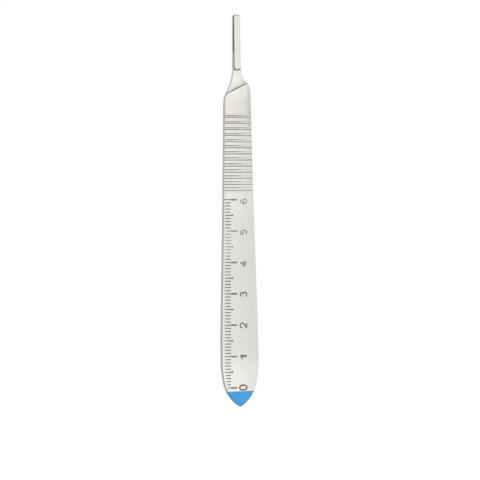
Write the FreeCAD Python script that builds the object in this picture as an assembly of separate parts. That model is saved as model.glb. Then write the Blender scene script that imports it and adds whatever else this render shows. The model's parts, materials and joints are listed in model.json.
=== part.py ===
import FreeCAD, Part
import math
import os

V = FreeCAD.Vector

# A flat steel scalpel handle that takes small blades. It lies on its back face.
# +Y points to the blade end, +Z points out of the face with the scale, +X is to the right of that face.
# All sizes are in millimetres and all angles in degrees.

# Whole handle
overall_length = 125.0
thickness = 2.7
edge_radius = 0.3

# Plan outline: straight lines with an arc at every corner.
# A width is that of the corner itself, and a "reach" is how far from its corner the arc begins.
widest_width = 11.9
butt_tip_reach = 0.16
butt_corner_width = 8.62
butt_corner_from_butt = 2.78
butt_side_from_butt = 10.95
flank_from_butt = 22.0
flank_reach = 4.0
waist_width = 9.64
waist_from_butt = 66.5
waist_reach = 2.0
head_width = 8.36

# Head, where the flanks sweep in to the nose. The left side is longer than the right.
# The share says how much of the slanted line the hollow arc takes; the full arc takes the rest.
left_head_from_nose = 26.3
right_head_from_nose = 23.0
left_neck_from_nose = 21.15
right_neck_from_nose = 19.5
left_hollow_share = 0.7
right_hollow_share = 0.7

# Nose bar, which tapers a little to its tip
nose_root_width = 2.4
nose_tip_width = 2.06
nose_corner_radius = 0.65

# Blade seat and its slanted shoulder
seat_depth = 0.7
shoulder_from_nose = 23.33
shoulder_angle = 26.5
shoulder_edge_break = 0.22

# Boss that stands on the seat and holds the blade in its side grooves
boss_width = 2.06
boss_length = 17.6
boss_setback = 0.1
boss_edge_break = 0.15
blade_thickness = 0.4
blade_clearance = 0.05
groove_relief_below_blade = 0.45
groove_web = 1.36
groove_length = 10.0
groove_cutter_radius = 6.0

# Grip: cross grooves on both faces, which get wider towards the butt
grip_grooves = 13
grip_pitch = 1.93
grip_first_from_nose = 32.52
grip_groove_depth = 0.3
grip_first_floor = 0.22
grip_last_floor = 0.62
grip_wall_run = 0.26

# Engraved scale, 0 near the butt
scale_length = 60
scale_step = 1.0
scale_zero_from_butt = 6.0
scale_start_from_axis = 5.3
scale_lean = 0.6
scale_butt_margin = 0.6
mark_width = 0.3
mark_depth = 0.1
bold_mark_width = 0.58
millimetre_mark = 2.05
half_centimetre_mark = 2.8
centimetre_mark = 4.05

# Blue identification coat on the butt end, flush with the steel
coat_length = 4.85
coat_line_lean = 1.0
coat_thickness = 0.12

# Places worked out from the sizes above
nose_tip_y = overall_length / 2
butt_tip_y = -overall_length / 2
seat_z = thickness - seat_depth
lip_z = seat_z + blade_thickness + blade_clearance
groove_floor_z = seat_z - groove_relief_below_blade
beyond = widest_width


def from_nose(distance):
    return nose_tip_y - distance


def from_butt(distance):
    return butt_tip_y + distance


def rounded_path(corners):
    """Straight lines from corner to corner, each corner but the two end ones rounded by an arc.

    A corner is its x, its y and its reach.
    """
    points = [V(x, y, 0) for x, y, reach in corners]
    edges = []
    done_to = points[0]
    for before, corner, after, (x, y, reach) in zip(points, points[1:], points[2:], corners[1:]):
        back = (before - corner).normalize()
        onward = (after - corner).normalize()
        half_angle = back.getAngle(onward) / 2
        middle_gap = reach * (1 - math.sin(half_angle)) / math.cos(half_angle)
        start = corner + back * reach
        middle = corner + (back + onward).normalize() * middle_gap
        end = corner + onward * reach
        if start.distanceToPoint(done_to) > 1e-6:
            edges.append(Part.LineSegment(done_to, start).toShape())
        edges.append(Part.Arc(start, middle, end).toShape())
        done_to = end
    edges.append(Part.LineSegment(done_to, points[-1]).toShape())
    return edges


def face_between(left_corners, right_corners):
    """A flat face from the corners of its two sides, both given by their distance from the axis."""
    left = rounded_path([(-x, y, reach) for x, y, reach in left_corners])
    right = rounded_path(right_corners)
    return Part.Face(Part.Wire(Part.__sortEdges__(left + right)))


def side_corners(neck_from_nose, head_from_nose, hollow_share):
    """The corners of one side of the plan outline, from the butt tip up to the nose tip."""
    tip = (butt_tip_reach, butt_tip_y)
    butt = (butt_corner_width / 2, from_butt(butt_corner_from_butt))
    widest = (widest_width / 2, from_butt(butt_side_from_butt))
    flank = (widest_width / 2, from_butt(flank_from_butt))
    waist = (waist_width / 2, from_butt(waist_from_butt))
    head = (head_width / 2, from_nose(head_from_nose))
    neck = (nose_root_width / 2, from_nose(neck_from_nose))
    nose = (nose_tip_width / 2, nose_tip_y)
    butt_reach = math.dist(tip, butt) - butt_tip_reach
    widest_reach = math.dist(butt, widest) - butt_reach
    hollow_reach = hollow_share * math.dist(neck, head)
    full_reach = math.dist(neck, head) - hollow_reach
    return [
        (0, butt_tip_y, 0),
        (*tip, butt_tip_reach),
        (*butt, butt_reach),
        (*widest, widest_reach),
        (*flank, flank_reach),
        (*waist, waist_reach),
        (*head, full_reach),
        (*neck, hollow_reach),
        (*nose, nose_corner_radius),
        (0, nose_tip_y, 0),
    ]


def plan_face():
    """The whole outline seen from above."""
    left = side_corners(left_neck_from_nose, left_head_from_nose, left_hollow_share)
    right = side_corners(right_neck_from_nose, right_head_from_nose, right_hollow_share)
    return face_between(left, right)


def flat_edges(shape, z):
    """The edges that lie in the plane at height z."""
    return [e for e in shape.Edges if abs(e.BoundBox.ZMin - z) < 1e-4 and abs(e.BoundBox.ZMax - z) < 1e-4]


def blank():
    """The flat plate in the plan outline, with both faces rounded off at the rim."""
    plate = plan_face().extrude(V(0, 0, thickness))
    return plate.makeFillet(edge_radius, flat_edges(plate, 0) + flat_edges(plate, thickness))


def core():
    """The blank drawn in on every side by the thickness of the coat, with a bevel under its rounded rims."""
    plate = plan_face().makeOffset2D(-coat_thickness)
    plate.translate(V(0, 0, coat_thickness))
    plate = plate.extrude(V(0, 0, thickness - 2 * coat_thickness))
    rims = flat_edges(plate, coat_thickness) + flat_edges(plate, thickness - coat_thickness)
    even_bevel = (edge_radius - coat_thickness) * (2 - math.sqrt(2))
    return plate.makeChamfer(even_bevel, rims)


def polygon_prism(points, direction):
    corners = [V(*p) for p in points]
    return Part.Face(Part.makePolygon(corners + corners[:1])).extrude(direction)


def seat_cut():
    """What is milled off the front face between the shoulder and the nose tip."""
    shoulder_y = from_nose(shoulder_from_nose)
    rise = beyond * math.tan(math.radians(shoulder_angle))
    top_y = nose_tip_y + beyond
    points = [
        (-beyond, shoulder_y - rise, seat_z),
        (beyond, shoulder_y + rise, seat_z),
        (beyond, top_y, seat_z),
        (-beyond, top_y, seat_z),
    ]
    return polygon_prism(points, V(0, 0, thickness))


def shoulder_break():
    """A small bevel along the top edge of the shoulder."""
    shoulder_y = from_nose(shoulder_from_nose)
    section = [
        (-beyond, 0, thickness - shoulder_edge_break),
        (-beyond, -shoulder_edge_break, thickness),
        (-beyond, shoulder_edge_break, thickness),
    ]
    bevel = polygon_prism(section, V(2 * beyond, 0, 0))
    bevel.rotate(V(0, 0, 0), V(0, 0, 1), shoulder_angle)
    bevel.translate(V(0, shoulder_y, 0))
    return bevel


def boss():
    """The raised rail on the seat, square at the nose tip and round at its other end."""
    half = boss_width / 2
    round_y = from_nose(boss_length)
    front_y = nose_tip_y - boss_setback
    corners = [
        (0, round_y, 0),
        (half, round_y, half),
        (half, front_y, nose_corner_radius),
        (0, front_y, 0),
    ]
    rail = face_between(corners, corners)
    rail.translate(V(0, 0, groove_floor_z))
    rail = rail.extrude(V(0, 0, thickness - groove_floor_z))
    return rail.makeChamfer(boss_edge_break, flat_edges(rail, thickness))


def blade_grooves():
    """One groove in each side of the nose, with the run-out that a round cutter leaves."""
    height = lip_z - groove_floor_z
    end_y = from_nose(groove_length)
    tools = []
    for side in (-1, 1):
        near_x = side * groove_web / 2
        far_x = side * beyond
        slot = Part.makeBox(
            abs(far_x - near_x), groove_length + beyond, height, V(min(near_x, far_x), end_y, groove_floor_z)
        )
        cutter_axis = V(near_x + side * groove_cutter_radius, end_y, groove_floor_z)
        tools.append(slot)
        tools.append(Part.makeCylinder(groove_cutter_radius, height, cutter_axis))
    return tools


def grip_cuts():
    """The cross grooves of the grip, on the front and on the back."""
    tools = []
    for face_z, inward in ((thickness, -1), (0, 1)):
        floor_z = face_z + inward * grip_groove_depth
        outside_z = face_z - inward * grip_groove_depth
        for number in range(grip_grooves):
            share = number / (grip_grooves - 1)
            half_floor = (grip_first_floor + share * (grip_last_floor - grip_first_floor)) / 2
            half_outside = half_floor + 2 * grip_wall_run
            y = from_nose(grip_first_from_nose + number * grip_pitch)
            section = [
                (-beyond, y - half_floor, floor_z),
                (-beyond, y + half_floor, floor_z),
                (-beyond, y + half_outside, outside_z),
                (-beyond, y - half_outside, outside_z),
            ]
            tools.append(polygon_prism(section, V(2 * beyond, 0, 0)))
    return tools


def mark_length(number):
    if number % 10 == 0:
        return centimetre_mark
    if number % 5 == 0:
        return half_centimetre_mark
    return millimetre_mark


def mark(from_x, to_x, y, width):
    """A shallow slot across the face, centred on y."""
    return Part.makeBox(to_x - from_x, width, 2 * mark_depth, V(from_x, y - width / 2, thickness - mark_depth))


def scale_cuts():
    """The engraved marks, drawn upright and then leaned together. The longer ones end in a bolder stroke.

    All start on one line, but the first few stop short of the curved butt.
    """
    outline = plan_face()
    zero = V(-scale_start_from_axis, from_butt(scale_zero_from_butt), 0)
    tools = []
    for number in range(round(scale_length / scale_step) + 1):
        y = zero.y + number * scale_step
        start_x = zero.x
        end_x = zero.x + mark_length(number)
        if y < from_butt(butt_side_from_butt):
            rim_x = outline.slice(V(0, 1, 0), y)[0].BoundBox.XMin
            start_x = max(zero.x, rim_x + scale_butt_margin)
        tools.append(mark(start_x, end_x, y, mark_width))
        if number % 5 == 0:
            tools.append(mark(zero.x + millimetre_mark, end_x, y, bold_mark_width))
    for tool in tools:
        tool.rotate(zero, V(0, 0, 1), -scale_lean)
    return tools


def coat_zone():
    """Everything on the butt side of the coat's upper line."""
    line_y = from_butt(coat_length)
    zone = Part.makeBox(2 * beyond, beyond, 3 * thickness, V(-beyond, line_y - beyond, -thickness))
    zone.rotate(V(0, line_y, 0), V(0, 0, 1), coat_line_lean)
    return zone


def build():
    plate = blank()
    coat = plate.common(coat_zone()).cut(core())
    handle = plate.cut([seat_cut(), shoulder_break(), coat] + grip_cuts() + scale_cuts())
    handle = handle.fuse(boss()).cut(blade_grooves())
    return {"handle": handle.removeSplitter(), "blue_end_coat": coat.removeSplitter()}


os.makedirs("parts", exist_ok=True)
for node, shape in build().items():
    solids = shape.Solids
    piece = solids[0] if len(solids) == 1 else shape
    piece.exportStep("parts/" + node + ".step")
    box = piece.BoundBox
    print(node, "solids", len(solids), "valid", piece.isValid(), "volume", round(piece.Volume, 2))
    print("   x", round(box.XMin, 3), round(box.XMax, 3), "y", round(box.YMin, 3), round(box.YMax, 3),
          "z", round(box.ZMin, 3), round(box.ZMax, 3))
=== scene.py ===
# %% [markdown]
# # A scalpel handle, dressed for its picture
#
# The handle is a flat steel bar with a grip, an engraved centimetre scale and a blue dipped end.
# The CAD model already has its true shape, in metres, lying on its back with the nose towards +Y.
# Blender adds what a drawing of solids leaves out: numerals, the satin of the steel, the paint and the light.

import json
import math

import bpy
from mathutils import Matrix, Vector

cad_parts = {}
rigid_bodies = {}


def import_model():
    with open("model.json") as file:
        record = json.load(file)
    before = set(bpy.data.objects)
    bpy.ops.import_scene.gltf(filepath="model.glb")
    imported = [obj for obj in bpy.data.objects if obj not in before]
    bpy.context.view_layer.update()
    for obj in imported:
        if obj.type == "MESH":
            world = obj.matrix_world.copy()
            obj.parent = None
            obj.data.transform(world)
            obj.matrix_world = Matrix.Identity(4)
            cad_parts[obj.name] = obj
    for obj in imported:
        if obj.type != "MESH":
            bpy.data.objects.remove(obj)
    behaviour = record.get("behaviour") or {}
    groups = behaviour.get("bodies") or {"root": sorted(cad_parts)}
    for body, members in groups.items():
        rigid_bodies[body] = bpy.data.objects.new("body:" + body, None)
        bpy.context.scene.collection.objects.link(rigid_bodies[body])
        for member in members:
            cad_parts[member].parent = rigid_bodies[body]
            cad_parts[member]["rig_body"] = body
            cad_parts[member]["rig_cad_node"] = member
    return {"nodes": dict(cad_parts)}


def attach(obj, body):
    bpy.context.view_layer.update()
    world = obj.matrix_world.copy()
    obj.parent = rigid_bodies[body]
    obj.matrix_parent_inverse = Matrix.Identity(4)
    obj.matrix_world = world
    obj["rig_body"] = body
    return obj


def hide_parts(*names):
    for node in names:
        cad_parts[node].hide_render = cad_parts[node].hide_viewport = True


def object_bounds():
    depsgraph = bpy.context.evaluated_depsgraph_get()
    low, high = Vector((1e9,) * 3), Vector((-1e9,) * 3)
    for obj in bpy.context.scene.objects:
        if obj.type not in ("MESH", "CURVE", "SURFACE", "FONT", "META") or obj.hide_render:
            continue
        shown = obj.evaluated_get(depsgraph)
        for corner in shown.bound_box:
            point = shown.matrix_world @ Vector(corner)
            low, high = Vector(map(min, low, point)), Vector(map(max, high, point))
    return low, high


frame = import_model()
cad_low, cad_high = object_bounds()
print("CAD box in mm:", [round(1000 * v, 3) for v in (*cad_low, *cad_high)])

# %% [markdown]
# Blender works in metres here, and the sizes of this object are easier to read in millimetres.
# One named value turns one into the other. The top face and the two tips come from the CAD box itself,
# so a change to the solids carries over to everything that is placed by them.

# %% Places that the rest is measured from
MM = 0.001
top_z = cad_high.z
nose_tip_y = cad_high.y
butt_tip_y = cad_low.y
axis_x = (cad_low.x + cad_high.x) / 2
print("top face at", round(top_z / MM, 3), "mm, length", round((nose_tip_y - butt_tip_y) / MM, 2), "mm")

# %% [markdown]
# An operator acts on whatever is selected, and loading a model leaves its parts selected.
# So every step starts by choosing what it works on. A finished piece also keeps its place in its mesh,
# with the object itself at the origin, and the second helper sees to that.


# %% Helpers for choosing and settling objects
def choose(*objects):
    """Select these objects only, and make the first one active."""
    bpy.ops.object.select_all(action="DESELECT")
    for obj in objects:
        obj.select_set(True)
    bpy.context.view_layer.objects.active = objects[0]


def settle(obj):
    """Move the object's place, turn and size into its mesh."""
    choose(obj)
    bpy.ops.object.transform_apply(location=True, rotation=True, scale=True)


def finish_modifier(obj, kind, **settings):
    """Add one modifier, set it and apply it."""
    choose(obj)
    modifier = obj.modifiers.new(kind.title(), kind)
    for name, value in settings.items():
        setattr(modifier, name, value)
    bpy.ops.object.modifier_apply(modifier=modifier.name)


# %% [markdown]
# ## The numerals
#
# The real figures 0 to 6 are cut into the face beside the centimetre marks with a small round cutter.
# They stand on their sides, with their tops towards the marks. Printed letters would be too crisp,
# so each figure is drawn here as the path of the cutter: a curve through a few points, on a grid that runs
# from -1 to 1 both ways. A straight path has sharp corners, a round one is smooth and a loop is closed too.

# %% The cutter's path for each figure
figure_strokes = {
    0: [("loop", [(0, 1.3), (1, 0.08), (0, -1.12), (-1, 0.08)])],
    1: [
        ("round", [(-1, 0.25), (-0.35, 0.65), (0.1, 1.1)]),
        ("straight", [(0.1, 1.1), (0.1, -1.1)]),
        ("straight", [(0.45, 1.05), (0.35, -1.05)]),
    ],
    2: [
        ("round", [(-1, 0.4), (-0.5, 1), (0.45, 1), (1, 0.45), (0.45, -0.2), (-1, -1)]),
        ("straight", [(-1, -1), (1.05, -1)]),
    ],
    3: [
        ("round", [(-0.85, 0.7), (-0.2, 1), (0.6, 0.85), (0.75, 0.4), (0.1, 0.08)]),
        ("round", [(0.1, 0.08), (0.9, -0.25), (0.75, -0.8), (0, -1), (-0.9, -0.7)]),
    ],
    4: [
        ("straight", [(0.3, -1), (0.3, 1)]),
        ("straight", [(0.3, 1), (-1.15, -0.4)]),
        ("straight", [(-1.15, -0.4), (1.05, -0.4)]),
    ],
    5: [
        ("straight", [(0.75, 0.95), (-0.7, 0.95), (-0.8, 0.1)]),
        ("round", [(-0.8, 0.1), (0, 0.28), (0.8, 0), (0.85, -0.6), (0.1, -1), (-0.85, -0.8)]),
    ],
    6: [
        ("round", [(0.8, 0.85), (0, 0.95), (-0.75, 0.4), (-0.9, -0.4), (-0.2, -1), (0.7, -0.8)]),
        ("round", [(0.7, -0.8), (0.9, -0.3), (0.4, 0.15), (-0.4, 0.1), (-0.9, -0.4)]),
    ],
}
print(len(figure_strokes), "figures,", sum(map(len, figure_strokes.values())), "strokes")

# %% [markdown]
# The cutter has a round nose. It only dips about a tenth of a millimetre below the face, so the stroke
# it leaves there is narrower than the cutter itself. It went a little deeper from figure to figure:
# the 6 is the faintest and the 0 the boldest. Raising the cutter's path is all that this takes.

# %% Size of the cutter and depth of its strokes
cutter_radius = 0.315 * MM
depth_of_0 = 0.14 * MM
depth_of_6 = 0.07 * MM
for depth in (depth_of_0, depth_of_6):
    width = 2 * math.sqrt(2 * cutter_radius * depth - depth**2)
    print("a stroke", round(depth / MM, 3), "mm deep is", round(width / MM, 3), "mm wide")

# %% [markdown]
# The scale leans a little on the real handle, and its figures creep towards the butt: they stand 9.9 mm
# apart beside marks that are 10 mm apart. Both come from measuring, and both are kept.

# %% Sizes and places of the figures
figure_height = 2.45 * MM
figure_width = 2.0 * MM
stroke_width = 0.46 * MM
half_width = (figure_width - stroke_width) / 2
half_height = (figure_height - stroke_width) / 2
figures_from_axis = 0.9 * MM
figure_pitch = 9.9 * MM
first_figure_lift = 0.02 * MM
scale_zero_from_butt = 6.0 * MM
scale_lean = math.radians(0.6)


def figure_place(centimetres):
    """The middle of a figure, beside its centimetre mark, at the height of the cutter's path."""
    along = first_figure_lift + centimetres * figure_pitch
    x = axis_x + figures_from_axis + along * math.sin(scale_lean)
    y = butt_tip_y + scale_zero_from_butt + along * math.cos(scale_lean)
    depth = depth_of_0 + (depth_of_6 - depth_of_0) * centimetres / max(figure_strokes)
    return Vector((x, y, top_z + cutter_radius - depth))


print("the 6 stands at", [round(v / MM, 2) for v in figure_place(6)], "mm")

# %% [markdown]
# A curve with a bevel is a tube along a path, which is just what a round cutter sweeps. The operators draw
# the path as a hand would, point by point, and its handles decide whether it runs straight or round.
# As a mesh, the tube has doubled corners at its caps. They are merged before its faces are turned outwards.

# %% Sweep the cutter along a path
path_steps = 6
round_steps = 3
same_point = 0.0001 * MM


def stroke(style, points, place):
    """One tube along a path of the given style, at the given place."""
    bpy.ops.object.select_all(action="DESELECT")
    bpy.ops.curve.primitive_bezier_curve_add(location=(0, 0, 0))
    path = bpy.context.object
    bpy.ops.object.mode_set(mode="EDIT")
    bpy.ops.curve.select_all(action="SELECT")
    bpy.ops.curve.delete(type="VERT")
    for across, up in points:
        bpy.ops.curve.vertex_add(location=place @ Vector((across, up, 0)))
    bpy.ops.curve.select_all(action="SELECT")
    bpy.ops.curve.handle_type_set(type="VECTOR" if style == "straight" else "AUTOMATIC")
    if style == "loop":
        bpy.ops.curve.cyclic_toggle()
    bpy.ops.object.mode_set(mode="OBJECT")
    path.data.resolution_u = path_steps
    path.data.bevel_depth = cutter_radius
    path.data.bevel_resolution = round_steps
    path.data.use_fill_caps = True
    choose(path)
    bpy.ops.object.convert(target="MESH")
    bpy.ops.object.mode_set(mode="EDIT")
    bpy.ops.mesh.select_all(action="SELECT")
    bpy.ops.mesh.remove_doubles(threshold=same_point)
    bpy.ops.mesh.normals_make_consistent(inside=False)
    bpy.ops.object.mode_set(mode="OBJECT")
    return bpy.context.object


# %% Draw all the figures and join them
tubes = []
for centimetres, strokes in figure_strokes.items():
    place = (
        Matrix.Translation(figure_place(centimetres))
        @ Matrix.Rotation(math.radians(90) - scale_lean, 4, "Z")
        @ Matrix.Diagonal((half_width, half_height, 1, 1))
    )
    for style, points in strokes:
        tubes.append(stroke(style, points, place))
choose(*tubes)
bpy.ops.object.join()
cutter = bpy.context.object
settle(cutter)
print(len(tubes), "strokes,", len(cutter.data.polygons), "faces")

# %% [markdown]
# ## The steel, with the figures cut in
#
# The handle gets five kinds of steel: satin on the faces, darkened in the cuts and in the shaded corners,
# dusky on the walls of the grip, polished on the round rims and stamped on the side walls. The darkened and
# dusky kinds carry painted shade. They are made empty here and painted further down.

# %% Five kinds of steel
satin = bpy.data.materials.new("satin_steel")
darkened = bpy.data.materials.new("darkened_steel")
dusky = bpy.data.materials.new("dusky_steel")
polished = bpy.data.materials.new("polished_steel")
stamped = bpy.data.materials.new("stamped_steel")
steels = [satin, darkened, dusky, polished, stamped]
print("kinds of steel:", [steel.name for steel in steels])

# %% [markdown]
# The CAD mesh is a set of loose triangles. The copy has its doubled corners merged first,
# so that it is one closed skin, and only then can a Boolean tell its inside from its outside.
# The faces that the Boolean leaves behind take the cutter's material, which here is the darkened one.

# %% Cut the figures into a copy of the handle
cutter.data.materials.append(darkened)
choose(frame["nodes"]["handle"])
bpy.ops.object.duplicate()
handle = bpy.context.object
handle.name = "steel_handle"
handle.parent = None
del handle["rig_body"], handle["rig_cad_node"]
handle.data.materials.clear()
for steel in steels:
    handle.data.materials.append(steel)
finish_modifier(handle, "WELD", merge_threshold=same_point)
finish_modifier(
    handle,
    "BOOLEAN",
    operation="DIFFERENCE",
    solver="EXACT",
    use_self=True,
    material_mode="TRANSFER",
    object=cutter,
)
bpy.data.objects.remove(cutter)
print("handle with figures:", len(handle.data.polygons), "faces")

# %% [markdown]
# The marks of the scale, the grip and the side grooves of the nose were cut in the CAD model already.
# The marks hold dirt and old polish. The grip walls, the nose grooves, the sides of the boss and the shoulder
# are painted darker, as the shade in such corners, while hands and cloths keep the round rims bright.
# The side walls aren't ground like the faces and stay as dull as the stamping press left them.
#
# These faces are found by their place and by their normal, the direction that they look in. Its z part is 1
# for a face that looks straight up, 0 for an upright wall and in between for one that leans.

# %% Where the cuts of the CAD model are
slack = 0.005 * MM
mark_depth = 0.1 * MM
groove_floor_z = 1.55 * MM
groove_lip_z = 2.45 * MM
groove_reach = 0.98 * MM
boss_length = 17.6 * MM
boss_end_y = nose_tip_y - boss_length
boss_edge = 0.3 * MM
seat_z = 2.0 * MM
shoulder_top_y = nose_tip_y - 19.5 * MM
shoulder_low_y = nose_tip_y - 26.5 * MM
grip_low_y = nose_tip_y - 57.0 * MM
print("boss down to", round(boss_end_y / MM, 2), "mm, grip down to", round(grip_low_y / MM, 2), "mm")


# %% Tests for a face in a cut or on a wall
def in_a_mark(face):
    """The floor and the walls of the scale's marks."""
    depth = top_z - face.center.z
    floor = face.normal.z > 0.9 and abs(depth - mark_depth) < slack
    wall = abs(face.normal.z) < 0.02 and slack < depth < mark_depth
    return floor or wall


def in_a_nose_groove(face):
    """The side grooves, which a blade's slot slides in."""
    between = groove_floor_z - slack < face.center.z < groove_lip_z + slack
    inside = abs(face.center.x - axis_x) < groove_reach
    return face.center.y > boss_end_y and between and inside and abs(face.normal.y) < 0.6


def on_the_shoulder(face):
    """The slanted wall that a blade meets."""
    in_reach = shoulder_low_y < face.center.y < shoulder_top_y
    return in_reach and face.normal.y > 0.5 and face.normal.z > -0.1 and abs(face.normal.x) < 0.5


def on_the_boss_side(face):
    """The side walls of the boss, and both its ends with their broken edges."""
    on_the_boss = face.center.y > boss_end_y - boss_edge and face.center.z > seat_z + slack
    return on_the_boss and (face.normal.z < 0.3 or abs(face.normal.y) > 0.3)


# The marks hold dirt; the nose grooves, the boss sides and the shoulder are shaded corners that get painted
# shade.
def in_a_mark_or_shaded_corner(face):
    return in_a_mark(face) or in_a_nose_groove(face) or on_the_boss_side(face) or on_the_shoulder(face)


def on_a_grip_wall(face):
    """The leaning walls of the cross grooves, on both faces of the handle."""
    in_grip = grip_low_y < face.center.y < shoulder_low_y
    return in_grip and 0.5 < abs(face.normal.y) < 0.9 and abs(face.normal.x) < 0.01


def on_a_rim(face):
    """The rounded edges between the faces and the side walls."""
    return 0.1 < abs(face.normal.z) < 0.98 and abs(face.normal.x) > 0.05


def on_a_side_wall(face):
    return abs(face.normal.z) < 0.1


# %% Give each face its kind of steel
tests = {darkened: in_a_mark_or_shaded_corner, dusky: on_a_grip_wall, polished: on_a_rim, stamped: on_a_side_wall}
for face in handle.data.polygons:
    cut_by_the_cutter = face.material_index == steels.index(darkened)
    if not cut_by_the_cutter:
        kinds = [steel for steel, test in tests.items() if test(face)]
        face.material_index = steels.index(kinds[0]) if kinds else steels.index(satin)
slots = [face.material_index for face in handle.data.polygons]
for slot, steel in enumerate(steels):
    print(steel.name, "on", slots.count(slot), "faces")

# %% [markdown]
# Smooth shading hides the facets of the round rims and corners. The flat faces get a sharp border, because
# that shading would otherwise bleed across them. Weighted Normal lets the largest faces set the direction.

# %% Keep the flats flat
smooth_below = math.radians(25)
choose(handle)
bpy.ops.object.shade_smooth_by_angle(angle=smooth_below)
bpy.ops.object.mode_set(mode="EDIT")
bpy.ops.mesh.select_mode(type="FACE")
bpy.ops.mesh.select_all(action="DESELECT")
bpy.ops.object.mode_set(mode="OBJECT")
for face in handle.data.polygons:
    face.select = abs(face.normal.z) > 0.99999
bpy.ops.object.mode_set(mode="EDIT")
bpy.ops.mesh.region_to_loop()
bpy.ops.mesh.mark_sharp()
bpy.ops.object.mode_set(mode="OBJECT")
finish_modifier(handle, "WEIGHTED_NORMAL", mode="FACE_AREA", weight=100, keep_sharp=True)
print("sharp edges:", sum(edge.use_edge_sharp for edge in handle.data.edges))

# %% [markdown]
# ## Materials as sums
#
# A material is a graph, and a graph is slow to read. Here one small class stands for a socket,
# and adding or multiplying two of them adds the node that does it.


# %% A socket that can be calculated with
class Wire:
    """One output of a material's nodes. Sums and products of wires add Math nodes."""

    def __init__(self, tree, socket):
        self.tree = tree
        self.socket = socket

    def node(self, kind, settings=None, inputs=None, output=0):
        """Add any node: its kind, its settings, then the values or wires of its inputs."""
        return add_node(self.tree, kind, settings, inputs, output)

    def maths(self, operation, *values):
        return self.node("ShaderNodeMath", {"operation": operation}, dict(enumerate(values)))

    def __add__(self, other):
        return self.maths("ADD", self, other)

    def __sub__(self, other):
        return self.maths("SUBTRACT", self, other)

    def __rsub__(self, other):
        return self.maths("SUBTRACT", other, self)

    def __mul__(self, other):
        return self.maths("MULTIPLY", self, other)

    __radd__ = __add__
    __rmul__ = __mul__

    def rise(self, start, end):
        """0 up to start, 1 from end on and a straight ramp between. Start may be the larger of the two."""
        ends = {"Value": self, "From Min": start, "From Max": end, "To Min": 0.0, "To Max": 1.0}
        return self.node("ShaderNodeMapRange", {"clamp": True}, ends)


# %% Add nodes and paint with them
def add_node(tree, kind, settings=None, inputs=None, output=0):
    made = tree.nodes.new(kind)
    for name, value in (settings or {}).items():
        setattr(made, name, value)
    for name, value in (inputs or {}).items():
        if isinstance(value, Wire):
            tree.links.new(value.socket, made.inputs[name])
        else:
            made.inputs[name].default_value = value
    return Wire(tree, made.outputs[output])


def blend(amount, first, second):
    """Mix two colours. A Mix node takes colours at its sockets 6 and 7 and gives one at its output 2."""
    colours = {"Factor": amount, 6: first, 7: second}
    return amount.node("ShaderNodeMix", {"data_type": "RGBA"}, colours, output=2)


def paint(material, surface):
    """Give a material a surface, made by a function that takes its empty node tree."""
    material.use_nodes = True
    tree = material.node_tree
    tree.nodes.clear()
    output = tree.nodes.new("ShaderNodeOutputMaterial")
    tree.links.new(surface(tree).socket, output.inputs["Surface"])
    print(material.name, "has", len(tree.nodes), "nodes")


# %% [markdown]
# ## Satin steel
#
# These handles are stamped, ground along their length and then dulled, so that they don't dazzle.
# The finish is a soft metal with long, faint grain: noise that is stretched along the handle.
# Slow noise gives the cloudy patches of the dulling. Object coordinates give both of them their place,
# so the pattern stays on the steel wherever the handle goes.

# %% Places, grain and clouds
grain_stretch = (2600, 110, 2600)
grain_detail = 4.0
cloud_detail = 2.0
middle_of_noise = (0.3, 0.7)


def spot_of(tree):
    """Where a shaded point is on the object."""
    return add_node(tree, "ShaderNodeTexCoord", output="Object")


def place_of(tree):
    """The x, the y and the z of that point, in metres."""
    spot = spot_of(tree)
    parts = spot.node("ShaderNodeSeparateXYZ", None, {"Vector": spot})
    return [Wire(tree, output) for output in parts.socket.node.outputs]


def grain_of(tree):
    """Long fine scratches that run along the handle, as a number from 0 to 1."""
    spot = spot_of(tree)
    stretched = spot.node("ShaderNodeMapping", None, {"Vector": spot, "Scale": grain_stretch})
    return spot.node("ShaderNodeTexNoise", None, {"Vector": stretched, "Scale": 1.0, "Detail": grain_detail})


def cloud_of(tree, scale):
    """Slow patches, as a number from 0 to 1."""
    spot = spot_of(tree)
    noise = spot.node("ShaderNodeTexNoise", None, {"Vector": spot, "Scale": scale, "Detail": cloud_detail})
    return noise.rise(*middle_of_noise)


# %% [markdown]
# All the steel shares one shader: a metal whose grain makes it a little rougher here and there
# and gives it bumps, at most two hundredths of a millimetre high.

# %% The shader of all the steel
grain_bump = 0.15
grain_height = 0.02 * MM
grain_roughness = 0.1


def metal(tree, base_colour, roughness, metallic=1.0, unevenness=grain_roughness):
    grain = grain_of(tree)
    bump = {"Strength": grain_bump, "Distance": grain_height, "Height": grain}
    finish = {
        "Base Color": base_colour,
        "Metallic": metallic,
        "Roughness": roughness + grain * unevenness,
        "Normal": grain.node("ShaderNodeBump", None, bump),
    }
    return grain.node("ShaderNodeBsdfPrincipled", None, finish)


# %% [markdown]
# The satin is painted with shade. The waist below the grip is painted greyer than the two ends, the right
# side greyer than the left, and the right edge of the head and the band between the grip and the shoulder
# greyer still.
# Each land of the grip is painted darker towards the butt, as shade on a crowned land, and the butt end is
# painted brighter, as a painted highlight. Real clouds and grain dull it a little too.
# Each such change is a ramp between two places, in millimetres from the middle of the handle.

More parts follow.
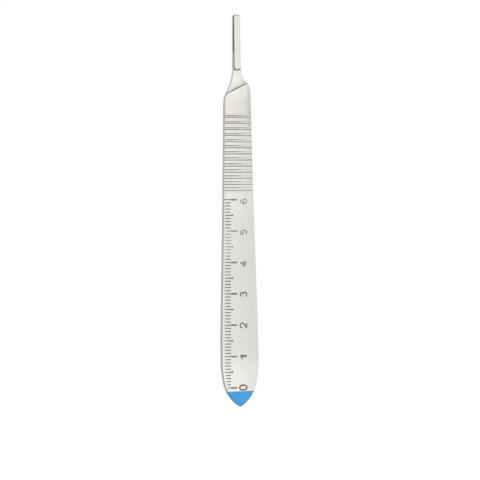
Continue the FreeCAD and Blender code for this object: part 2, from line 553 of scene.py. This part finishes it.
# %% Where painted shade dulls the finish
first_groove_y = nose_tip_y - 32.52 * MM
grip_pitch = 1.93 * MM
grip_high_y = first_groove_y + grip_pitch / 2
down_to_the_waist = (6 * MM, -8 * MM)
up_to_the_waist = (-54 * MM, -43 * MM)
to_the_butt = (-46 * MM, -52 * MM)
from_the_shoulder = (38 * MM, 34 * MM)
up_to_the_head = (20 * MM, 31 * MM)
along_the_head_edge = (24 * MM, 30 * MM)
to_the_right = (-2 * MM, 4 * MM)
to_the_right_edge = (2.5 * MM, 4.2 * MM)
across_a_land = (0.25, 0.85)
waist_painted_shade = 0.24
right_painted_shade = 0.3
right_painted_shade_spared = 0.15
head_edge_painted_shade = 0.55
head_painted_shade = 0.08
land_painted_shade = 0.22
butt_painted_highlight = 0.15
cloud_dull = 0.05
grain_dull = 0.1
cloud_scale = 160.0
print("the grip is", round((grip_high_y - grip_low_y) / grip_pitch, 1), "grooves long")


def along_pitch(y):
    """From 0 at the middle of one groove of the grip to 1 at the middle of the next."""
    pitches = (first_groove_y - y) * (1 / grip_pitch)
    return pitches.maths("FRACT", pitches)


def dullness_and_painted_shade(tree):
    """0 where the steel is bright and 1 where it is dullest, from painted shade, a painted highlight at the
    butt and real clouds and grain.
    """
    x, y, _ = place_of(tree)
    # Painted shade on the waist, the right side, the right edge of the head, the band below the shoulder and
    # the lands; a painted highlight at the butt.
    waist = y.rise(*down_to_the_waist) * y.rise(*up_to_the_waist)
    right = x.rise(*to_the_right) * (right_painted_shade - waist * right_painted_shade_spared)
    head_edge = x.rise(*to_the_right_edge) * y.rise(*along_the_head_edge) * head_edge_painted_shade
    in_grip = y.rise(grip_low_y, grip_low_y + slack) * y.rise(grip_high_y, grip_high_y - slack)
    land = along_pitch(y).rise(*across_a_land) * in_grip * land_painted_shade
    head = y.rise(*from_the_shoulder) * y.rise(*up_to_the_head) * head_painted_shade
    noise = cloud_of(tree, cloud_scale) * cloud_dull + grain_of(tree).rise(*middle_of_noise) * grain_dull
    return waist * waist_painted_shade + right + head_edge + land + head + noise - y.rise(*to_the_butt) * butt_painted_highlight


# %% [markdown]
# The blade's seat is milled flat up to the shoulder. A line of painted shade lies along the shoulder
# and round the end of the boss, where the steps shade the seat.

# %% Painted shade in the corners of the seat
shoulder_from_nose = 23.33 * MM
shoulder_slope = math.tan(math.radians(26.5))
seat_band = 0.1 * MM
by_the_shoulder = (1.8 * MM, 0.2 * MM)
by_the_boss = (0.4 * MM, 0.2 * MM)
shoulder_painted_shade = 0.2
shoulder_painted_shade_clouds = 0.4
shoulder_cloud_scale = 500.0
print("shoulder at", round((nose_tip_y - shoulder_from_nose) / MM, 2), "mm on the axis")


def painted_shade_in_seat_corners(tree):
    """How much painted shade lies on the seat, from 0 to 1."""
    x, y, z = place_of(tree)
    on_the_seat = z.rise(seat_z - seat_band, seat_z - slack) * z.rise(seat_z + seat_band, seat_z + slack)
    from_shoulder = y - x * shoulder_slope - (nose_tip_y - shoulder_from_nose)
    # The seat is painted darker by the shoulder and by the boss end, as shade, unevenly.
    dirt = shoulder_painted_shade + cloud_of(tree, shoulder_cloud_scale) * shoulder_painted_shade_clouds
    return on_the_seat * (from_shoulder.rise(*by_the_shoulder) * dirt + (boss_end_y - y).rise(*by_the_boss))


# %% [markdown]
# The head is a shade warmer than the rest, and a painted highlight makes it brightest on both sides of the
# shoulder.
# The round rims are the same steel, only smoother, with half of the dullness and painted shade of the faces.

# %% The satin faces and the polished rims
steel_colour = (0.79, 0.775, 0.74, 1)
steel_warm = (0.79, 0.768, 0.7, 1)
steel_painted_highlight = (0.85, 0.835, 0.765, 1)
steel_dull = (0.5, 0.492, 0.47, 1)
up_the_grip = (22 * MM, 32 * MM)
up_to_the_shoulder = (34.5 * MM, 38 * MM)
down_from_the_boss = (45 * MM, 43 * MM)
satin_roughness = 0.34
polished_roughness = 0.26
polished_unevenness = 0.08
rim_dullness = 0.5


def satin_surface(tree):
    _, y, _ = place_of(tree)
    clean = blend(y.rise(*up_the_grip), steel_colour, steel_warm)
    # A painted highlight on both sides of the shoulder.
    clean = blend(y.rise(*up_to_the_shoulder) * y.rise(*down_from_the_boss), clean, steel_painted_highlight)
    return metal(tree, blend(dullness_and_painted_shade(tree) + painted_shade_in_seat_corners(tree), clean, steel_dull), satin_roughness)


def polished_surface(tree):
    colour = blend(dullness_and_painted_shade(tree) * rim_dullness, steel_colour, steel_dull)
    return metal(tree, colour, polished_roughness, unevenness=polished_unevenness)


paint(satin, satin_surface)
paint(polished, polished_surface)

# %% [markdown]
# ## The darkened cuts
#
# What sits in the engraving is uneven. The fine marks are darkest at their right ends, and for a centimetre
# below the 5 they are worn pale. The figures get darker towards the butt. The grooves of the nose are painted
# darkest of all, as the shade inside them, and the sides of the boss and the shoulder take painted shade too.
# Each of these is one more term in a sum that says how deep the dirt and the painted shade are.

# %% Where the dirt and the painted shade are deep and where the marks are worn
darkened_colour = (0.46, 0.455, 0.44, 1)
darkened_deep = (0.15, 0.147, 0.14, 1)
darkened_worn = (0.72, 0.71, 0.68, 1)
top_of_the_scale = (6 * MM, 5 * MM)
along_a_fine_mark = (-5.2 * MM, -3.6 * MM)
onto_a_bold_end = (-3.3 * MM, -3.1 * MM)
onto_a_figure = (-1.5 * MM, -0.8 * MM)
from_the_6_to_the_0 = (5 * MM, -45 * MM)
up_the_nose = (44 * MM, 47 * MM)
up_to_the_worn_marks = (-15.2 * MM, -14 * MM)
down_to_the_worn_marks = (-4.8 * MM, -6.2 * MM)
along_a_worn_mark = (-4.4 * MM, -3.5 * MM)
dirt_everywhere = 0.2
dirt_clouds = 0.3
dirt_cloud_scale = 130.0
fine_end_dirt = 0.65
bold_end_dirt = 0.3
figure_dirt = -0.1
figure_dirt_gained = 0.4
nose_painted_shade = 0.8
wear = 0.65
wear_spared = 0.35
darkened_roughness = 0.5


def darkened_surface(tree):
    x, y, _ = place_of(tree)
    on_the_scale = y.rise(*top_of_the_scale)
    bold = x.rise(*onto_a_bold_end)
    right = x.rise(*onto_a_figure)
    fine_end = x.rise(*along_a_fine_mark) * (1 - bold)
    bold_end = bold * (1 - right) * on_the_scale
    figure = right * on_the_scale
    # Up the nose, the grooves and the boss sides are painted darkest, as shade.
    dirt = dirt_everywhere + cloud_of(tree, dirt_cloud_scale) * dirt_clouds + y.rise(*up_the_nose) * nose_painted_shade
    dirt = dirt + fine_end * fine_end_dirt + bold_end * bold_end_dirt
    dirt = dirt + figure * (y.rise(*from_the_6_to_the_0) * figure_dirt_gained + figure_dirt)
    worn_marks = y.rise(*up_to_the_worn_marks) * y.rise(*down_to_the_worn_marks) * (1 - figure)
    worn = worn_marks * (wear - x.rise(*along_a_worn_mark) * wear_spared)
    return metal(
        tree,
        blend(worn, blend(dirt, darkened_colour, darkened_deep), darkened_worn),
        darkened_roughness,
    )


paint(darkened, darkened_surface)

# %% [markdown]
# ## The walls of the grip
#
# Each cross groove has two leaning walls, painted dark, as the shade in the grooves, and lighter towards
# their right ends. In the middle of the grip the wall nearer the butt is painted darkest. The wall nearer the
# nose is painted paler, most of all at its right end, where a painted highlight makes it nearly white. Its
# metallic value comes down there too.

# %% The walls of the grip
dusky_colour = (0.7, 0.69, 0.665, 1)
dusky_deep_shade = (0.34, 0.335, 0.32, 1)
dusky_deepest_shade = (0.2, 0.197, 0.19, 1)
dusky_painted_highlight = (0.95, 0.94, 0.91, 1)
past_half_a_pitch = (0.4, 0.6)
to_the_butt_half = (24 * MM, 22 * MM)
nose_half_right = (-1 * MM, 3.5 * MM)
butt_half_right = (-1.5 * MM, 2 * MM)
up_to_the_middle = (11 * MM, 14 * MM)
down_to_the_middle = (22 * MM, 20 * MM)
nose_side_less_shade = 0.6
grip_wall_painted_shade = 0.8
grip_wall_painted_shade_clouds = 0.5
wall_cloud_scale = 400.0
right_end_less_shade = 0.4
butt_half_less_shade = 0.2
pale_loses_metal = 0.8
dusky_roughness = 0.42


def dusky_surface(tree):
    x, y, _ = place_of(tree)
    nose_side = along_pitch(y).rise(*past_half_a_pitch)
    butt_half = y.rise(*to_the_butt_half)
    right_end = x.rise(*nose_half_right) * (1 - butt_half) + x.rise(*butt_half_right) * butt_half
    # Painted shade on the grip walls, uneven and less of it towards the right end.
    clouds = cloud_of(tree, wall_cloud_scale) * grip_wall_painted_shade_clouds
    dirt = grip_wall_painted_shade + clouds - right_end * (right_end_less_shade + butt_half * butt_half_less_shade)
    colour = blend((1 - nose_side * nose_side_less_shade) * dirt, dusky_colour, dusky_deep_shade)
    middle = y.rise(*up_to_the_middle) * y.rise(*down_to_the_middle) * (1 - nose_side)
    colour = blend(middle, colour, dusky_deepest_shade)
    # A painted highlight on the nose-side wall at its right end.
    pale = nose_side * right_end
    return metal(tree, blend(pale, colour, dusky_painted_highlight), dusky_roughness, metallic=1 - pale * pale_loses_metal)


paint(dusky, dusky_surface)

# %% [markdown]
# ## The side walls
#
# The stamping press leaves a matter, greyer surface. It is palest on the nose, which is milled afterwards,
# and gets a little darker towards the butt.

# %% The side walls
stamped_colour = (0.6, 0.595, 0.59, 1)
stamped_deep = (0.5, 0.495, 0.49, 1)
stamped_pale = (0.72, 0.71, 0.7, 1)
from_head_to_butt = (35 * MM, -45 * MM)
onto_the_nose = (40 * MM, 45 * MM)
wall_deepening = 0.8
stamped_clouds = 0.2
stamped_cloud_scale = 300.0
stamped_roughness = 0.36


def stamped_surface(tree):
    _, y, _ = place_of(tree)
    clouds = cloud_of(tree, stamped_cloud_scale) * stamped_clouds
    colour = blend(y.rise(*from_head_to_butt) * wall_deepening + clouds, stamped_colour, stamped_deep)
    return metal(tree, blend(y.rise(*onto_the_nose), colour, stamped_pale), stamped_roughness)


paint(stamped, stamped_surface)

# %% [markdown]
# ## Blue end coat
#
# The butt end is dipped in blue paint so that a set of handles can be told apart.
# Paint is no metal: it has its own colour under a soft gloss, with a little unevenness from dipping.
# The rims are painted darker and greyer, as shade on the rounded edges, and so is a band along the outline of
# the tip, darkest towards the point. That outline follows the handle's, which is close to a root of the
# distance from the tip.
# A band along the upper line is darker too.

# %% Colours and borders of the coat
coat_colour = (0.035, 0.36, 0.78, 1)
coat_thin_colour = (0.035, 0.31, 0.68, 1)
coat_edge_colour = (0.08, 0.3, 0.52, 1)
coat_rim_shade_colour = (0.05, 0.27, 0.51, 1)
coat_outline_shade_colour = (0.06, 0.24, 0.46, 1)
coat_length = 4.85 * MM
coat_line_slope = math.tan(math.radians(1.0))
towards_the_line = (0.5 * MM, 0.3 * MM)
outline_root = 1.47
outline_slope = 0.32
towards_the_border = (0.9, 0.4)
towards_the_tip = (1.9, 0.4)
tip_painted_shade = 0.75
rim_start = 0.03 * MM
rim_end = 0.001 * MM
flow_scale = 300.0
flow_range = (0.35, 0.75)
flow_thinning = 0.4
flow_bump = 0.1
flow_height = 0.02 * MM
coat_roughness = 0.35
flow_roughness = 0.05


# %% Paint the coat
def painted_shade_along_the_outline(x, y):
    """How much painted shade: 1 along the outline of the tip and 0 well inside it. The outline is worked out
    in millimetres.
    """
    above_tip = (y - butt_tip_y) * (1 / MM)
    half_outline = above_tip.maths("SQRT", above_tip) * outline_root + above_tip * outline_slope
    from_border = half_outline - x.maths("ABSOLUTE", x) * (1 / MM)
    return from_border.rise(*towards_the_border) + above_tip.rise(*towards_the_tip) * tip_painted_shade


def coat_surface(tree):
    spot = spot_of(tree)
    noise = {"Vector": spot, "Scale": flow_scale, "Detail": cloud_detail}
    flow = spot.node("ShaderNodeTexNoise", None, noise)
    x, y, z = place_of(tree)
    below_line = x * coat_line_slope + (butt_tip_y + coat_length) - y
    on_a_face = z.rise(top_z - rim_start, top_z - rim_end) + z.rise(rim_start, rim_end)
    colour = blend(flow.rise(*flow_range) * flow_thinning, coat_colour, coat_thin_colour)
    colour = blend(below_line.rise(*towards_the_line), colour, coat_edge_colour)
    # Painted shade along the outline of the tip and on the rims.
    colour = blend(painted_shade_along_the_outline(x, y), colour, coat_outline_shade_colour)
    colour = blend(1 - on_a_face, colour, coat_rim_shade_colour)
    bump = {"Strength": flow_bump, "Distance": flow_height, "Height": flow}
    finish = {
        "Base Color": colour,
        "Roughness": coat_roughness + flow * flow_roughness,
        "Normal": spot.node("ShaderNodeBump", None, bump),
    }
    return spot.node("ShaderNodeBsdfPrincipled", None, finish)


coat = frame["nodes"]["blue_end_coat"]
blue_paint = bpy.data.materials.new("blue_paint")
paint(blue_paint, coat_surface)
coat.data.materials.clear()
coat.data.materials.append(blue_paint)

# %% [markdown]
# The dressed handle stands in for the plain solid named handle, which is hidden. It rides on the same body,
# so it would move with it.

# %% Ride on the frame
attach(handle, "root")
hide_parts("handle")
print(handle.name, "rides on the root body")

# %% [markdown]
# ## Floor and light
#
# The picture has a white ground and soft, even light from above. The floor gives back most of that light
# and keeps a faint shadow. Light Path lets the camera see it as white paper. The floor lies a hair below
# the handle, because two faces in exactly one plane would flicker through each other.

# %% Lay the floor
floor_size = 3.0
floor_gap = 0.01 * MM
floor_colour = (0.85, 0.85, 0.85, 1)
white = (1, 1, 1, 1)
glow_for_camera = 0.85
glow_for_metal = 0.2
glow_strength = 1.05


def floor_surface(tree):
    to_camera = add_node(tree, "ShaderNodeLightPath", output="Is Camera Ray")
    to_metal = add_node(tree, "ShaderNodeLightPath", output="Is Glossy Ray")
    through_glass = add_node(tree, "ShaderNodeLightPath", output="Is Transmission Ray")
    glowing = to_camera * glow_for_camera + to_metal * glow_for_metal + through_glass * glow_for_camera
    matt = glowing.node("ShaderNodeBsdfDiffuse", None, {"Color": floor_colour})
    glow = glowing.node("ShaderNodeEmission", None, {"Color": white, "Strength": glow_strength})
    return glowing.node("ShaderNodeMixShader", None, {0: glowing, 1: matt, 2: glow})


bpy.ops.object.select_all(action="DESELECT")
bpy.ops.mesh.primitive_plane_add(size=floor_size, location=(0, 0, cad_low.z - floor_gap))
floor = bpy.context.object
floor.name = "floor"
settle(floor)
white_floor = bpy.data.materials.new("white_floor")
paint(white_floor, floor_surface)
floor.data.materials.append(white_floor)

# %% [markdown]
# The light is a sky with no lamps in it. It is bright overhead and fades towards the horizon, as under
# a large soft box, and a low panel on each side lights the upright walls, the left one twice as strongly.
# The camera itself sees plain white, so that no edge of the sky shows behind the handle.

# %% Set the sky
sky_zenith = 1.13
sky_horizon = 0.1
from_dark_to_bright = (0.2, 0.78)
left_panel = 0.6
right_panel = 0.3
panel_above = (0.05, 0.25)
far_left = (-0.5, -0.8)
far_right = (0.5, 0.8)
world = bpy.data.worlds.new("studio")
bpy.context.scene.world = world
world.use_nodes = True
sky_tree = world.node_tree
sky_tree.nodes.clear()
direction = add_node(sky_tree, "ShaderNodeTexCoord", output="Generated")
climb = direction.node("ShaderNodeSeparateXYZ", None, {"Vector": direction}, output="Z")
to_right = direction.node("ShaderNodeSeparateXYZ", None, {"Vector": direction}, output="X")
seen_by_camera = add_node(sky_tree, "ShaderNodeLightPath", output="Is Camera Ray")
brightness = climb.rise(*from_dark_to_bright) * (sky_zenith - sky_horizon) + sky_horizon
brightness = brightness + to_right.rise(*far_left) * climb.rise(*panel_above) * left_panel
brightness = brightness + to_right.rise(*far_right) * climb.rise(*panel_above) * right_panel
brightness = brightness * (1 - seen_by_camera) + seen_by_camera
sky = climb.node("ShaderNodeBackground", None, {"Color": white, "Strength": brightness})
world_output = sky_tree.nodes.new("ShaderNodeOutputWorld")
sky_tree.links.new(sky.socket, world_output.inputs["Surface"])
print("the sky has", len(sky_tree.nodes), "nodes")

# %% [markdown]
# ## Camera
#
# The photographer looked almost straight down from a long way off, a little from the handle's left,
# so that its left wall shows as a narrow strip. A long lens gives the same flat view.
# The engraved scale says how many pixels a millimetre has, and that gives the distance.

# %% Place the camera
photo_pixels = 480
pixels_per_mm = 3.125
camera_tilt = math.radians(15.2)
camera_roll = math.radians(0.594)
aim_right = 0.95 * MM
aim_below_middle = 9.4 * MM
lens = 200.0
sensor = 36.0
middle_y = (nose_tip_y + butt_tip_y) / 2
aim = Vector((axis_x + aim_right, middle_y - aim_below_middle, cad_low.z))
view_width = photo_pixels / pixels_per_mm * MM
distance = view_width * lens / sensor
leaning = Matrix.Rotation(-camera_tilt, 3, "Y")
towards_camera = leaning @ Vector((0, 0, 1))
bpy.ops.object.camera_add(location=aim + towards_camera * distance)
camera = bpy.context.object
camera.data.lens = lens
camera.data.sensor_width = sensor
camera.data.clip_start = 0.01
camera.data.clip_end = 10.0
camera.rotation_euler = (leaning @ Matrix.Rotation(-camera_roll, 3, "Z")).to_euler()
bpy.context.scene.camera = camera
bpy.context.scene.view_settings.view_transform = "Standard"
print("camera", round(distance, 3), "m away")
